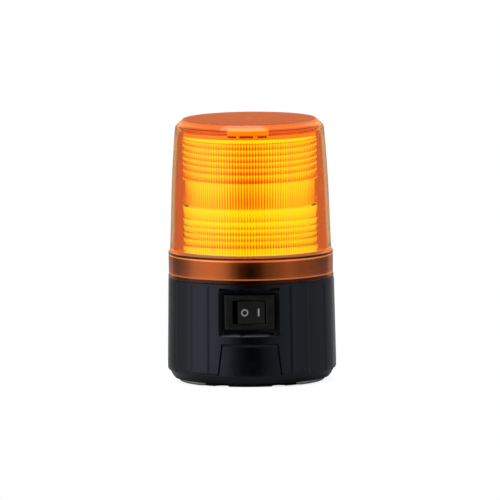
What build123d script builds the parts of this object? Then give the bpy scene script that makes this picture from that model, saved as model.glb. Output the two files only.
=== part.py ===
from build123d import *
import os
from math import cos, radians, sin

os.makedirs("parts", exist_ok=True)

# Battery-powered LED warning beacon. Millimetres, +Z up, the switch faces -Y.
# The origin is at the centre of the face of the magnet plate.

# ---------------------------------------------------------------- driving dimensions
# Magnet plate and rubber foot
plate_r = 31.5
plate_t = 1.6
plate_chord = 21.6          # the plate is cut off straight this far in front of the axis
foot_gap = 0.4
foot_half_width = 21.5
foot_front_r = 29.5
magnet_r = 22.0
magnet_bore_r = 6.0
magnet_t = 3.95

# Bottom cover
cover_foot_r = 33.3
cover_rim_r = 35.4
cover_rim_z = 5.0
seam_z = 5.45               # where the housing stands on the cover
spigot_r = 33.3
spigot_t = 1.7
spigot_top_z = 9.0
cover_floor_z = 3.4
magnet_boss_r = 24.4
cradle_z = 7.0              # underside of the battery cradle

# Housing
housing_foot_r = 36.36
housing_top_r = 35.7
housing_top_z = 45.2
housing_bore_r = 33.6
ledge_r = 30.6
ledge_z = 41.0
chassis_z = 43.0            # top of the ledge
grip_first = 37.0           # middle of the first pad each side of the front
grip_pitch = 32.7
grips_each_side = 5
grip_arc = 13.0
grip_rise = 0.35

# Switch
switch_z = 32.9
recess_w = 27.0
recess_h = 18.5
recess_floor_y = -32.0
tub_back_y = -30.0
tub_front_y = -32.3
bezel_w = 21.4
bezel_h = 15.0
bezel_t = 2.0
switch_body_w = 19.0
switch_body_h = 13.0
switch_back_y = -20.5
cavity_floor_y = -22.3
opening_w = 14.4
opening_h = 10.1
rocker_h = 9.7
rocker_half_w = 5.8
rocker_pivot_y = -30.0
rocker_tilt = 12.0          # each way from the middle; the right-hand end is in
blade_tilt = 7.0
blade_pivot_y = -24.05
bead_r = 0.4                # round bead on which the blade rocks

# Chassis, globe and lens
neck_r = 32.4
neck_bore_r = 29.8
deck_z = 55.0
deck_top_z = 56.6
board_z = 50.0
board_t = 1.6
board_r = 27.0
skirt_r = 35.8
skirt_bore_r = 33.6
skirt_top_z = 56.4
globe_top_z = 113.7
globe_top_r = 28.4
lens_r = 29.2
lens_root_r = 28.5
lens_bore_r = 24.8
lens_foot_z = 56.1
lens_top_z = 107.0

# Battery cells, lying along X in two rows and two layers
cell_r = 7.1
can_length = 49.3
nub_r = 2.7
nub_length = 1.0
plate_face_x = 26.95        # inner face of the contact plates
contact_t = 0.4
row_y = (-6.1, 8.5)
layer_z = (15.4, 29.8)

# Screws
screw_r = 1.5
pilot_clearance = 0.03
insert_r = 2.2
cover_screw_r = 29.4        # pitch radius
cover_screw_angles = (90, 245, 295)
plate_screw_r = 27.0
plate_screw_angles = (35, 145, 205, 335)
chassis_screw_r = 29.4
chassis_screw_angles = (35, 145, 215, 325)
board_screw_r = 22.0
board_screw_angles = (90, 210, 330)
key_angles = (-139, -41, 41, 139)


def radial_plane(angle):
    """Plane through the Z axis at an angle: local x points outwards, local y up."""
    direction = (cos(radians(angle)), sin(radians(angle)), 0)
    normal = (sin(radians(angle)), -cos(radians(angle)), 0)
    return Plane(origin=(0, 0, 0), x_dir=direction, z_dir=normal)


def ring_points(radius, angles, z=0.0):
    """Points on a circle about the Z axis."""
    return [(radius * cos(radians(a)), radius * sin(radians(a)), z) for a in angles]


def tilted_plane(angle, z):
    """Plan-view plane at the rocker's pivot, turned about Z."""
    turn = radians(angle)
    return Plane(origin=(0, rocker_pivot_y, z), x_dir=(cos(turn), sin(turn), 0), z_dir=(0, 0, 1))


# ================================================================ base body
# Nickel-plated steel pole plate with a rolled lower edge, cut off straight at the front
plate_screw_points = ring_points(plate_screw_r, plate_screw_angles)
cover_screw_points = ring_points(cover_screw_r, cover_screw_angles)
countersink_r = 3.0
screw_access_r = 3.3
with BuildPart() as magnet_plate:
    with BuildSketch(Plane.XY):
        Circle(plate_r)
    extrude(amount=plate_t)
    fillet(magnet_plate.edges().group_by(Axis.Z)[0], 0.9)
    with BuildSketch(Plane.XY):
        with Locations((0, -plate_chord - plate_r / 2)):
            Rectangle(2 * plate_r, plate_r)
        with Locations((0, cover_screw_r)):
            Circle(screw_access_r)
        with Locations((0, cover_screw_r + screw_access_r)):
            Rectangle(2 * screw_access_r, 2 * screw_access_r)
    extrude(amount=plate_t, mode=Mode.SUBTRACT)
    with Locations(*plate_screw_points):
        Cone(countersink_r, screw_r + 0.1, plate_t, align=(Align.CENTER, Align.CENTER, Align.MIN),
             mode=Mode.SUBTRACT)
magnet_plate.part.label = "magnet_plate"
export_step(magnet_plate.part, "parts/magnet_plate.step")

# Countersunk screws that hold the plate to the bottom cover
head_inset = 0.15
cross_w = 0.7
cross_l = 3.2
with BuildPart() as plate_screws:
    with Locations(*[(x, y, head_inset) for x, y, z in plate_screw_points]):
        Cone(countersink_r - 0.15, screw_r - 0.1, plate_t - head_inset,
             align=(Align.CENTER, Align.CENTER, Align.MIN))
        Cylinder(screw_r - 0.1, 5.8, align=(Align.CENTER, Align.CENTER, Align.MIN))
        Box(cross_w, cross_l, 1.2, mode=Mode.SUBTRACT)
        Box(cross_l, cross_w, 1.2, mode=Mode.SUBTRACT)
plate_screws.part.label = "plate_screws"
export_step(plate_screws.part, "parts/plate_screws.step")

# Ferrite ring magnet that sits between the pole plate and the cover
with BuildPart() as ring_magnet:
    with BuildSketch(Plane.XY.offset(plate_t)):
        Circle(magnet_r)
        Circle(magnet_bore_r, mode=Mode.SUBTRACT)
    extrude(amount=magnet_t)
    chamfer(ring_magnet.edges().filter_by(GeomType.CIRCLE), 0.3)
ring_magnet.part.label = "ring_magnet"
export_step(ring_magnet.part, "parts/ring_magnet.step")

# Black rubber foot that fills the cut-off front of the plate
with BuildPart() as rubber_foot:
    with BuildSketch(Plane.XY):
        Circle(foot_front_r)
        with Locations((0, plate_r - plate_chord - foot_gap)):
            Rectangle(2 * plate_r, 2 * plate_r, mode=Mode.SUBTRACT)
        Rectangle(2 * foot_half_width, 2 * plate_r, mode=Mode.INTERSECT)
        with Locations(*[(x, y) for x, y, z in cover_screw_points[1:]]):
            Circle(screw_access_r, mode=Mode.SUBTRACT)
    extrude(amount=plate_t)
rubber_foot.part.label = "rubber_foot"
export_step(rubber_foot.part, "parts/rubber_foot.step")

# Bottom cover: bowl-shaped outside, a spigot that enters the housing, a pocket for the magnet
gasket_in_r = 33.75
gasket_out_r = 34.95
gasket_z = 4.75
cover_boss_r = 3.6
with BuildPart() as bottom_cover:
    with BuildSketch(Plane.XZ):
        with BuildLine():
            Line((magnet_r + 0.1, plate_t), (cover_foot_r, plate_t))
            ThreePointArc((cover_foot_r, plate_t), (34.72, 3.45), (cover_rim_r, cover_rim_z))
            Polyline(
                (cover_rim_r, cover_rim_z),
                (cover_rim_r, seam_z),
                (gasket_out_r, seam_z),
                (gasket_out_r, gasket_z),
                (gasket_in_r, gasket_z),
                (gasket_in_r, seam_z),
                (spigot_r, seam_z),
                (spigot_r, spigot_top_z),
                (spigot_r - spigot_t, spigot_top_z),
                (spigot_r - spigot_t, cover_floor_z),
                (magnet_boss_r, cover_floor_z),
                (magnet_boss_r, cradle_z),
                (0, cradle_z),
                (0, plate_t + magnet_t + 0.05),
                (magnet_r + 0.1, plate_t + magnet_t + 0.05),
                (magnet_r + 0.1, plate_t),
            )
        make_face()
    revolve(axis=Axis.Z)
    with Locations(*[(x, y, plate_t) for x, y, z in plate_screw_points]):
        Cylinder(3.0, cradle_z - 0.1 - plate_t, align=(Align.CENTER, Align.CENTER, Align.MIN))
        Cylinder(screw_r - 0.1 + pilot_clearance, 4.8,
                 align=(Align.CENTER, Align.CENTER, Align.MIN), mode=Mode.SUBTRACT)
    with Locations(*[(x, y, plate_t) for x, y, z in cover_screw_points]):
        Cylinder(cover_boss_r, cradle_z - plate_t, align=(Align.CENTER, Align.CENTER, Align.MIN))
        Cylinder(2.9, 2.4, align=(Align.CENTER, Align.CENTER, Align.MIN), mode=Mode.SUBTRACT)
        Cylinder(screw_r + 0.15, 3 * cradle_z, mode=Mode.SUBTRACT)
    with Locations(*[(x, y, cradle_z) for x, y, z in cover_screw_points]):
        Cylinder(cover_boss_r + 0.8, 3.0, align=(Align.CENTER, Align.CENTER, Align.MIN),
                 mode=Mode.SUBTRACT)
bottom_cover.part.label = "bottom_cover"
export_step(bottom_cover.part, "parts/bottom_cover.step")

# Flat gasket that seals the housing on the cover
with BuildPart() as cover_gasket:
    with BuildSketch(Plane.XY.offset(gasket_z)):
        Circle(gasket_out_r - 0.05)
        Circle(gasket_in_r + 0.05, mode=Mode.SUBTRACT)
    extrude(amount=seam_z - gasket_z)
cover_gasket.part.label = "cover_gasket"
export_step(cover_gasket.part, "parts/cover_gasket.step")

# Pan-head screws from below, through the cover into the housing's brass inserts
cover_screw_seat = plate_t + 2.4
with BuildPart() as cover_screws:
    with Locations(*[(x, y, cover_screw_seat) for x, y, z in cover_screw_points]):
        Cylinder(2.7, 1.9, align=(Align.CENTER, Align.CENTER, Align.MAX))
        Cylinder(screw_r, 10.5, align=(Align.CENTER, Align.CENTER, Align.MIN))
    with Locations(*[(x, y, cover_screw_seat - 1.9) for x, y, z in cover_screw_points]):
        Box(cross_w, cross_l, 1.8, mode=Mode.SUBTRACT)
        Box(cross_l, cross_w, 1.8, mode=Mode.SUBTRACT)
cover_screws.part.label = "cover_screws"
export_step(cover_screws.part, "parts/cover_screws.step")

# Battery cradle: an open tray with end walls that carry the contact plates
cradle_wall = 1.2
cradle_floor = 1.2
cradle_x = plate_face_x + contact_t + 0.05
cradle_y = (row_y[0] - cell_r - 0.1, row_y[1] + cell_r + 0.1)
cradle_mid_y = (cradle_y[0] + cradle_y[1]) / 2
cradle_len_y = cradle_y[1] - cradle_y[0]
cradle_top_z = 36.4
side_wall_z = 30.0
window_w = 19.0
window_z = (12.5, 25.5)
with BuildPart() as battery_cradle:
    with BuildSketch(Plane.XY.offset(cradle_z)):
        with Locations((0, cradle_mid_y)):
            Rectangle(2 * (cradle_x + cradle_wall), cradle_len_y + 2 * cradle_wall)
        Circle(spigot_r - spigot_t - 0.4, mode=Mode.INTERSECT)
    extrude(amount=cradle_top_z - cradle_z)
    with BuildSketch(Plane.XY.offset(cradle_z + cradle_floor)):
        with Locations((0, cradle_mid_y)):
            Rectangle(2 * cradle_x, cradle_len_y)
    extrude(amount=cradle_top_z, mode=Mode.SUBTRACT)
    with BuildSketch(Plane.XY.offset(side_wall_z)):
        with Locations((0, cradle_mid_y)):
            Rectangle(2 * cradle_x - 12, 3 * cradle_len_y)
    extrude(amount=cradle_top_z, mode=Mode.SUBTRACT)
    with BuildSketch(Plane.XZ.offset(-2 * cradle_len_y)):
        with Locations(*[(s * (window_w / 2 + 1.5), sum(window_z) / 2) for s in (-1, 1)]):
            RectangleRounded(window_w, window_z[1] - window_z[0], 2.0)
    extrude(amount=4 * cradle_len_y, mode=Mode.SUBTRACT)
battery_cradle.part.label = "battery_cradle"
export_step(battery_cradle.part, "parts/battery_cradle.step")

# The four AA cells: (row, layer, direction of the positive nub along X)
cells = ((0, 0, 1), (1, 0, -1), (1, 1, 1), (0, 1, -1))
for number, (row, layer, way) in enumerate(cells, start=1):
    can_end_x = way * (plate_face_x - nub_length)
    with BuildPart() as battery:
        with BuildSketch(Plane.YZ.offset(can_end_x)):
            with Locations((row_y[row], layer_z[layer])):
                Circle(cell_r)
        extrude(amount=-way * can_length)
        fillet(battery.edges().filter_by(GeomType.CIRCLE), 0.5)
        with BuildSketch(Plane.YZ.offset(can_end_x)):
            with Locations((row_y[row], layer_z[layer])):
                Circle(nub_r)
        extrude(amount=way * nub_length)
    battery.part.label = f"battery_{number}"
    export_step(battery.part, f"parts/battery_{number}.step")

# Conical coil springs at the negative ends of the cells, wound once along +X and placed four times
wire_r = 0.3
spring_gap = 2 * plate_face_x - nub_length - can_length
coil_height = spring_gap - 2 * wire_r - 0.04
with BuildPart() as coil_spring:
    with BuildLine() as coil:
        Helix(pitch=coil_height / 2.6, height=coil_height, radius=4.6, direction=(1, 0, 0), cone_angle=-25)
    with BuildSketch(Plane(origin=coil.line @ 0, z_dir=coil.line % 0)):
        Circle(wire_r)
    sweep(is_frenet=True)
for number, (row, layer, way) in enumerate(cells, start=1):
    seat = (-way * (plate_face_x - wire_r - 0.02), row_y[row], layer_z[layer])
    battery_spring = Location(seat, (0, 0, 0 if way > 0 else 180)) * coil_spring.part
    battery_spring.label = f"battery_spring_{number}"
    export_step(battery_spring, f"parts/battery_spring_{number}.step")

# Contact plates that join two cells: (end, centre y, centre z, width, height)
pair_y = sum(row_y) / 2
pair_z = sum(layer_z) / 2
span_y = row_y[1] - row_y[0] + 11.0
span_z = layer_z[1] - layer_z[0] + 11.0
links = (
    (1, row_y[0], pair_z, 11.0, span_z),
    (1, row_y[1], pair_z, 11.0, span_z),
    (-1, pair_y, layer_z[0], span_y, 11.0),
)
for number, (end, y, z, wide, high) in enumerate(links, start=1):
    with BuildPart() as link_plate:
        with BuildSketch(Plane.YZ.offset(end * plate_face_x)):
            with Locations((y, z)):
                RectangleRounded(wide, high, 1.5)
        extrude(amount=end * contact_t)
    link_plate.part.label = f"link_plate_{number}"
    export_step(link_plate.part, f"parts/link_plate_{number}.step")

# Feed contacts: an end plate that bends over the upper cell and carries a post up to the board
feed_shelf_z = 38.2
feed_post_x = -21.0
pad_t = 0.4
for name, row in (("feed_contact_positive", 0), ("feed_contact_negative", 1)):
    with BuildPart() as feed_contact:
        with BuildSketch(Plane.YZ.offset(-plate_face_x)):
            with Locations((row_y[row], layer_z[1])):
                RectangleRounded(11.0, 11.0, 1.5)
            with Locations((row_y[row], (layer_z[1] + feed_shelf_z + contact_t) / 2)):
                Rectangle(5.0, feed_shelf_z + contact_t - layer_z[1])
        extrude(amount=-contact_t)
        with BuildSketch(Plane.XY.offset(feed_shelf_z)):
            with Locations(((feed_post_x - 2.5 - plate_face_x - contact_t + 5.0) / 2, row_y[row])):
                Rectangle(plate_face_x + contact_t + feed_post_x + 2.5, 5.0)
        extrude(amount=contact_t)
        with Locations((feed_post_x, row_y[row], feed_shelf_z)):
            Cylinder(0.9, board_z - pad_t - feed_shelf_z, align=(Align.CENTER, Align.CENTER, Align.MIN))
    feed_contact.part.label = name
    export_step(feed_contact.part, f"parts/{name}.step")

# ================================================================ lamp body
# Housing: a drafted tube with grip pads, a flat-floored recess for the switch and a finger relief
recess_low_z = switch_z - recess_h / 2
recess_high_z = switch_z + recess_h / 2
lip_arc = 43.0
lip_h = 1.4
relief_foot_w = 28.2
relief_top_w = 24.8
relief_top_z = 18.3
relief_depth = 1.0
grip_low_z = 6.4
grip_high_z = 44.4


def housing_r(z):
    """Outside radius of the drafted wall at a height."""
    share = (z - seam_z) / (housing_top_z - seam_z)
    return housing_foot_r + share * (housing_top_r - housing_foot_r)


grip_angles = [-90 + side * (grip_first + step * grip_pitch)
               for side in (-1, 1) for step in range(grips_each_side)]
with BuildPart() as relief_cutter:
    with BuildSketch(Plane.XZ):
        Polygon(
            (housing_r(seam_z) - relief_depth, seam_z - 1),
            (housing_foot_r + 1.0, seam_z - 1),
            (housing_foot_r + 1.0, relief_top_z + 0.8),
            (housing_r(relief_top_z), relief_top_z + 0.8),
            (housing_r(relief_top_z) - relief_depth, relief_top_z),
            align=None,
        )
    revolve(axis=Axis.Z)
    with BuildSketch(Plane.XZ.offset(cover_foot_r / 2)):
        Polygon(
            (-relief_foot_w / 2, seam_z - 1),
            (relief_foot_w / 2, seam_z - 1),
            (relief_top_w / 2, relief_top_z + 0.8),
            (-relief_top_w / 2, relief_top_z + 0.8),
            align=None,
        )
    extrude(amount=cover_foot_r, mode=Mode.INTERSECT)

with BuildPart() as housing:
    with BuildSketch(Plane.XZ):
        Polygon(
            (housing_bore_r, seam_z),
            (housing_foot_r - 0.3, seam_z),
            (housing_foot_r, seam_z + 0.3),
            (housing_r(housing_top_z - 0.4), housing_top_z - 0.4),
            (housing_top_r - 0.4, housing_top_z),
            (housing_bore_r, housing_top_z),
            (housing_bore_r, chassis_z),
            (ledge_r, chassis_z),
            (ledge_r, ledge_z),
            (housing_bore_r, ledge_z - 3.0),
            align=None,
        )
    revolve(axis=Axis.Z)
    # grip pads down both sides, in mirrored rows that start beside the switch
    for middle in grip_angles:
        with BuildSketch(radial_plane(middle - grip_arc / 2)):
            Polygon(
                (housing_bore_r + 1.0, grip_low_z),
                (housing_r(grip_low_z), grip_low_z),
                (housing_r(grip_low_z) + grip_rise, grip_low_z + 0.5),
                (housing_r(grip_high_z) + grip_rise, grip_high_z - 0.5),
                (housing_r(grip_high_z), grip_high_z),
                (housing_bore_r + 1.0, grip_high_z),
                align=None,
            )
        revolve(axis=Axis.Z, revolution_arc=grip_arc)
    # the tub behind the recess
    with BuildSketch(Plane.XZ.offset(-tub_back_y)):
        with Locations((0, (recess_low_z - 1.6 + chassis_z) / 2)):
            Rectangle(recess_w + 3.2, chassis_z - recess_low_z + 1.6)
    extrude(amount=tub_back_y - tub_front_y)
    with BuildSketch(Plane.XZ.offset(-recess_floor_y)):
        with Locations((0, switch_z)):
            Rectangle(recess_w, recess_h)
    extrude(amount=10.0, mode=Mode.SUBTRACT)
    # bevelled lips above and below the recess
    for low, high in ((recess_high_z, recess_high_z + lip_h), (recess_low_z, recess_low_z - lip_h)):
        with BuildSketch(radial_plane(-90 - lip_arc / 2)):
            Polygon(
                (housing_top_r - 1.1, low),
                (housing_foot_r + 0.5, low),
                (housing_foot_r + 0.5, high),
                (housing_foot_r - 0.1, high),
                align=None,
            )
        revolve(axis=Axis.Z, revolution_arc=lip_arc, mode=Mode.SUBTRACT)
    # opening for the switch body
    with BuildSketch(Plane.XZ.offset(-tub_back_y - 1.0)):
        with Locations((0, switch_z)):
            Rectangle(switch_body_w + 0.2, switch_body_h + 0.2)
    extrude(amount=5.0, mode=Mode.SUBTRACT)
    # finger relief, open at the foot
    add(relief_cutter.part, mode=Mode.SUBTRACT)
    # bosses for the cover screws, tied to the wall
    boss_z = cradle_z + 0.1
    boss_h = 9.5
    for angle in cover_screw_angles:
        with BuildSketch(Plane.XY.offset(boss_z)):
            with Locations(ring_points(cover_screw_r, (angle,))[0][:2]):
                Circle(3.4)
            with Locations(Location(ring_points(32.4, (angle,))[0], (0, 0, angle))):
                Rectangle(3.2, 4.0)
        extrude(amount=boss_h)
    with Locations(*[(x, y, boss_z) for x, y, z in cover_screw_points]):
        Cylinder(insert_r + 0.02, boss_h - 1.2, align=(Align.CENTER, Align.CENTER, Align.MIN),
                 mode=Mode.SUBTRACT)
    # ears for the chassis screws
    with Locations(*ring_points(chassis_screw_r, chassis_screw_angles, ledge_z)):
        Cylinder(3.2, chassis_z - ledge_z, align=(Align.CENTER, Align.CENTER, Align.MIN))
        Cylinder(screw_r + 0.15, 3 * (chassis_z - ledge_z), mode=Mode.SUBTRACT)
        Cylinder(2.9, 3.2, align=(Align.CENTER, Align.CENTER, Align.MAX), mode=Mode.SUBTRACT)
housing.part.label = "housing"
export_step(housing.part, "parts/housing.step")

# Brass inserts moulded into the housing's bosses
with BuildPart() as thread_inserts:
    with Locations(*[(x, y, boss_z + 0.1) for x, y, z in cover_screw_points]):
        Cylinder(insert_r, 6.5, align=(Align.CENTER, Align.CENTER, Align.MIN))
        Cylinder(screw_r + 0.08, 20.0, mode=Mode.SUBTRACT)
thread_inserts.part.label = "thread_inserts"
export_step(thread_inserts.part, "parts/thread_inserts.step")

# Chassis: flange, neck with the seal groove, and the deck that carries the lens and LEDs
flange_r = 33.3
flange_in_r = 27.5
flange_t = 1.6
groove_z = (48.9, 51.1)
groove_r = 31.3
boss_top_z = 50.0
key_notch_w = 3.0
key_z = 51.8
with BuildPart() as chassis:
    with BuildSketch(Plane.XZ):
        Polygon(
            (flange_in_r, chassis_z),
            (flange_r, chassis_z),
            (flange_r, chassis_z + flange_t),
            (neck_r, chassis_z + flange_t),
            (neck_r, deck_top_z - 0.4),
            (neck_r - 0.4, deck_top_z),
            (lens_r + 0.3, deck_top_z),
            (lens_r + 0.3, lens_foot_z),
            (lens_bore_r - 0.3, lens_foot_z),
            (lens_bore_r - 0.3, deck_top_z),
            (3.0, deck_top_z),
            (3.0, deck_z),
            (neck_bore_r, deck_z),
            (neck_bore_r, chassis_z + flange_t),
            (flange_in_r, chassis_z + flange_t),
            align=None,
        )
    revolve(axis=Axis.Z)
    with Locations(*ring_points(chassis_screw_r, chassis_screw_angles, chassis_z)):
        Cylinder(2.9, boss_top_z - chassis_z, align=(Align.CENTER, Align.CENTER, Align.MIN))
        Cylinder(screw_r - 0.1 + pilot_clearance, 6.4,
                 align=(Align.CENTER, Align.CENTER, Align.MIN), mode=Mode.SUBTRACT)
    with Locations(*ring_points(board_screw_r, board_screw_angles, board_z + board_t)):
        Cylinder(2.6, deck_z - board_z - board_t, align=(Align.CENTER, Align.CENTER, Align.MIN))
        Cylinder(1.0 + pilot_clearance, 2.8, align=(Align.CENTER, Align.CENTER, Align.MIN),
                 mode=Mode.SUBTRACT)
    with BuildSketch(Plane.XZ):
        Polygon((groove_r, groove_z[0]), (neck_r + 1, groove_z[0]), (neck_r + 1, groove_z[1]),
                (groove_r, groove_z[1]), align=None)
    revolve(axis=Axis.Z, mode=Mode.SUBTRACT)
    for angle in key_angles:
        with Locations(Location(ring_points(neck_r, (angle,), key_z)[0], (0, 0, angle))):
            Box(2.2, key_notch_w, 10.0, align=(Align.CENTER, Align.CENTER, Align.MIN),
                mode=Mode.SUBTRACT)
chassis.part.label = "chassis"
export_step(chassis.part, "parts/chassis.step")

# Self-tapping screws that hold the chassis on the housing's ledge, driven from below
with BuildPart() as chassis_screws:
    with Locations(*ring_points(chassis_screw_r, chassis_screw_angles, ledge_z)):
        Cylinder(2.7, 1.8, align=(Align.CENTER, Align.CENTER, Align.MAX))
        Cylinder(screw_r - 0.1, 8.0, align=(Align.CENTER, Align.CENTER, Align.MIN))
    with Locations(*ring_points(chassis_screw_r, chassis_screw_angles, ledge_z - 1.8)):
        Box(cross_w, cross_l, 1.8, mode=Mode.SUBTRACT)
        Box(cross_l, cross_w, 1.8, mode=Mode.SUBTRACT)
chassis_screws.part.label = "chassis_screws"
export_step(chassis_screws.part, "parts/chassis_screws.step")

# O-ring in the neck's groove, drawn unsqueezed
with BuildPart() as globe_seal:
    with BuildSketch(Plane.XZ):
        with Locations((groove_r + 1.05, sum(groove_z) / 2)):
            Circle(1.0)
    revolve(axis=Axis.Z)
globe_seal.part.label = "globe_seal"
export_step(globe_seal.part, "parts/globe_seal.step")

# Control board under the deck, with its parts
with BuildPart() as control_board:
    with BuildSketch(Plane.XY.offset(board_z)):
        Circle(board_r)
        with Locations(*ring_points(board_screw_r, board_screw_angles)):
            Circle(1.1, mode=Mode.SUBTRACT)
    extrude(amount=board_t)
control_board.part.label = "control_board"
export_step(control_board.part, "parts/control_board.step")

with BuildPart() as board_screws:
    with Locations(*ring_points(board_screw_r, board_screw_angles, board_z)):
        Cylinder(1.9, 1.4, align=(Align.CENTER, Align.CENTER, Align.MAX))
        Cylinder(1.0, 4.2, align=(Align.CENTER, Align.CENTER, Align.MIN))
board_screws.part.label = "board_screws"
export_step(board_screws.part, "parts/board_screws.step")

with BuildPart() as contact_pads:
    with BuildSketch(Plane.XY.offset(board_z - pad_t)):
        with Locations((feed_post_x, row_y[0]), (feed_post_x, row_y[1])):
            Circle(2.0)
    extrude(amount=pad_t)
contact_pads.part.label = "contact_pads"
export_step(contact_pads.part, "parts/contact_pads.step")

with BuildPart() as capacitor:
    with BuildSketch(Plane.XY.offset(board_z)):
        with Locations((14.0, -17.0)):
            Circle(4.0)
    extrude(amount=-9.5)
    fillet(capacitor.edges().group_by(Axis.Z)[0], 0.6)
capacitor.part.label = "capacitor"
export_step(capacitor.part, "parts/capacitor.step")

with BuildPart() as inductor:
    with BuildSketch(Plane.XY.offset(board_z)):
        with Locations((20.0, 6.0)):
            RectangleRounded(8.0, 8.0, 1.5)
    extrude(amount=-4.6)
inductor.part.label = "inductor"
export_step(inductor.part, "parts/inductor.step")

with BuildPart() as driver_chip:
    with BuildSketch(Plane.XY.offset(board_z)):
        Rectangle(6.0, 5.0)
    extrude(amount=-1.6)
    chamfer(driver_chip.edges().group_by(Axis.Z)[0], 0.3)
driver_chip.part.label = "driver_chip"
export_step(driver_chip.part, "parts/driver_chip.step")

# LED mast: a square aluminium post with a round foot, a board on each side, three LEDs a board
mast_w = 13.0
mast_top_z = 98.0
mast_foot_r = 9.5
mast_foot_t = 2.0
led_board_w = 11.0
led_board_t = 1.0
led_board_z = (59.5, 97.5)
led_rows_z = (66.5, 78.5, 90.5)
led_w = 3.5
with BuildPart() as led_mast:
    with BuildSketch(Plane.XY.offset(deck_top_z)):
        Circle(mast_foot_r)
    extrude(amount=mast_foot_t)
    with BuildSketch(Plane.XY.offset(deck_top_z)):
        Rectangle(mast_w, mast_w)
        Rectangle(mast_w - 4.0, mast_w - 4.0, mode=Mode.SUBTRACT)
    extrude(amount=mast_top_z - deck_top_z)
    with Locations((0, 0, deck_top_z)):
        Cylinder(3.0, 3 * mast_foot_t, mode=Mode.SUBTRACT)
led_mast.part.label = "led_mast"
export_step(led_mast.part, "parts/led_mast.step")

for number, side in enumerate(("front", "right", "back", "left")):
    face = radial_plane(-90 + 90 * number)
    outward = face.x_dir
    sketch_plane = Plane(origin=outward * (mast_w / 2), x_dir=-face.z_dir, z_dir=outward)
    with BuildPart() as led_board:
        with BuildSketch(sketch_plane):
            with Locations((0, sum(led_board_z) / 2)):
                Rectangle(led_board_w, led_board_z[1] - led_board_z[0])
        extrude(amount=led_board_t)
    led_board.part.label = f"led_board_{side}"
    export_step(led_board.part, f"parts/led_board_{side}.step")

    top_plane = Plane(origin=outward * (mast_w / 2 + led_board_t), x_dir=-face.z_dir, z_dir=outward)
    with BuildPart() as leds:
        with BuildSketch(top_plane):
            with Locations(*[(0, z) for z in led_rows_z]):
                Rectangle(led_w, led_w)
        extrude(amount=0.9)
        with BuildSketch(top_plane.offset(0.9)):
            with Locations(*[(0, z) for z in led_rows_z]):
                Circle(1.3)
        extrude(amount=0.9, taper=25)
    leds.part.label = f"leds_{side}"
    export_step(leds.part, f"parts/leds_{side}.step")

# Inner lens: a moulded cup with ring prisms above and below a plain middle band
low_rings = (57.0, 60.3, 63.1, 65.7, 68.4, 71.4, 76.6)
high_rings = (87.8, 91.4, 94.2, 96.8, 99.5, 102.2, 104.6, lens_top_z)
band_r = 28.05
with BuildPart() as inner_lens:
    with BuildSketch(Plane.XZ):
        with BuildLine():
            Polyline((0, lens_top_z - 1.8), (lens_bore_r, lens_top_z - 1.8),
                     (lens_bore_r, lens_foot_z), (lens_r, lens_foot_z), (lens_r, low_rings[0]))
            for low, high in zip(low_rings, low_rings[1:]):
                Polyline((lens_r, low), (lens_root_r, low + 0.05), (lens_r, high))
            Line((lens_r, low_rings[-1]), (26.9, low_rings[-1] + 0.3))
            ThreePointArc((26.9, low_rings[-1] + 0.3), (27.75, 78.6), (band_r, 81.0))
            Polyline((band_r, 81.0), (band_r, high_rings[0] - 0.1), (lens_r, high_rings[0]))
            for low, high in zip(high_rings, high_rings[1:-1]):
                Polyline((lens_r, low), (lens_root_r, high - 0.05), (lens_r, high))
            Polyline((lens_r, high_rings[-2]), (lens_root_r, lens_top_z), (0, lens_top_z),
                     (0, lens_top_z - 1.8))
        make_face()
    revolve(axis=Axis.Z)
inner_lens.part.label = "inner_lens"
export_step(inner_lens.part, "parts/inner_lens.step")

# Cap on the lens: a thin disc with a low rim that has three slots in front
slots = ((-6.8, 3.5), (-0.7, 5.9), (6.0, 3.9))
with BuildPart() as lens_cap:
    with BuildSketch(Plane.XY.offset(lens_top_z)):
        Circle(lens_root_r - 0.1)
    extrude(amount=2.1)
    with BuildSketch(Plane.XY.offset(lens_top_z + 0.8)):
        Circle(lens_root_r - 2.0)
    extrude(amount=2.0, mode=Mode.SUBTRACT)
    for x, wide in slots:
        with Locations((x, -lens_root_r, lens_top_z + 0.9)):
            Box(wide, 8.0, 0.9, align=(Align.CENTER, Align.CENTER, Align.MIN), mode=Mode.SUBTRACT)
lens_cap.part.label = "lens_cap"
export_step(lens_cap.part, "parts/lens_cap.step")

# Switch frame: bezel, box and snap wings, with a cavity for the rocker
cavity_low_z = switch_z - opening_h / 2
pin_r = 0.9
with BuildPart() as switch_frame:
    with BuildSketch(Plane.XZ.offset(-recess_floor_y)):
        with Locations((0, switch_z)):
            Rectangle(bezel_w, bezel_h)
    extrude(amount=bezel_t)
    chamfer(switch_frame.faces().sort_by(Axis.Y)[0].edges(), 0.5)
    with BuildSketch(Plane.XZ.offset(-recess_floor_y)):
        with Locations((0, switch_z)):
            Rectangle(switch_body_w, switch_body_h)
    extrude(amount=recess_floor_y - switch_back_y)
    with BuildSketch(Plane.XZ.offset(-tub_back_y - 0.1)):
        with Locations((0, switch_z)):
            Rectangle(switch_body_w + 1.2, 7.0)
    extrude(amount=-3.0, taper=10)
    with BuildSketch(Plane.XZ.offset(-recess_floor_y + bezel_t)):
        with Locations((0, switch_z)):
            Rectangle(opening_w, opening_h)
    extrude(amount=recess_floor_y - bezel_t - cavity_floor_y, mode=Mode.SUBTRACT)
    with Locations((0, rocker_pivot_y, switch_z)):
        Cylinder(pin_r + 0.05, opening_h + 2.1, mode=Mode.SUBTRACT)
    for x in (0.0, -5.0):
        with Locations((x, cavity_floor_y, switch_z)):
            Box(0.84, 6.0, 4.84, mode=Mode.SUBTRACT)
switch_frame.part.label = "switch_frame"
export_step(switch_frame.part, "parts/switch_frame.step")

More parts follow.
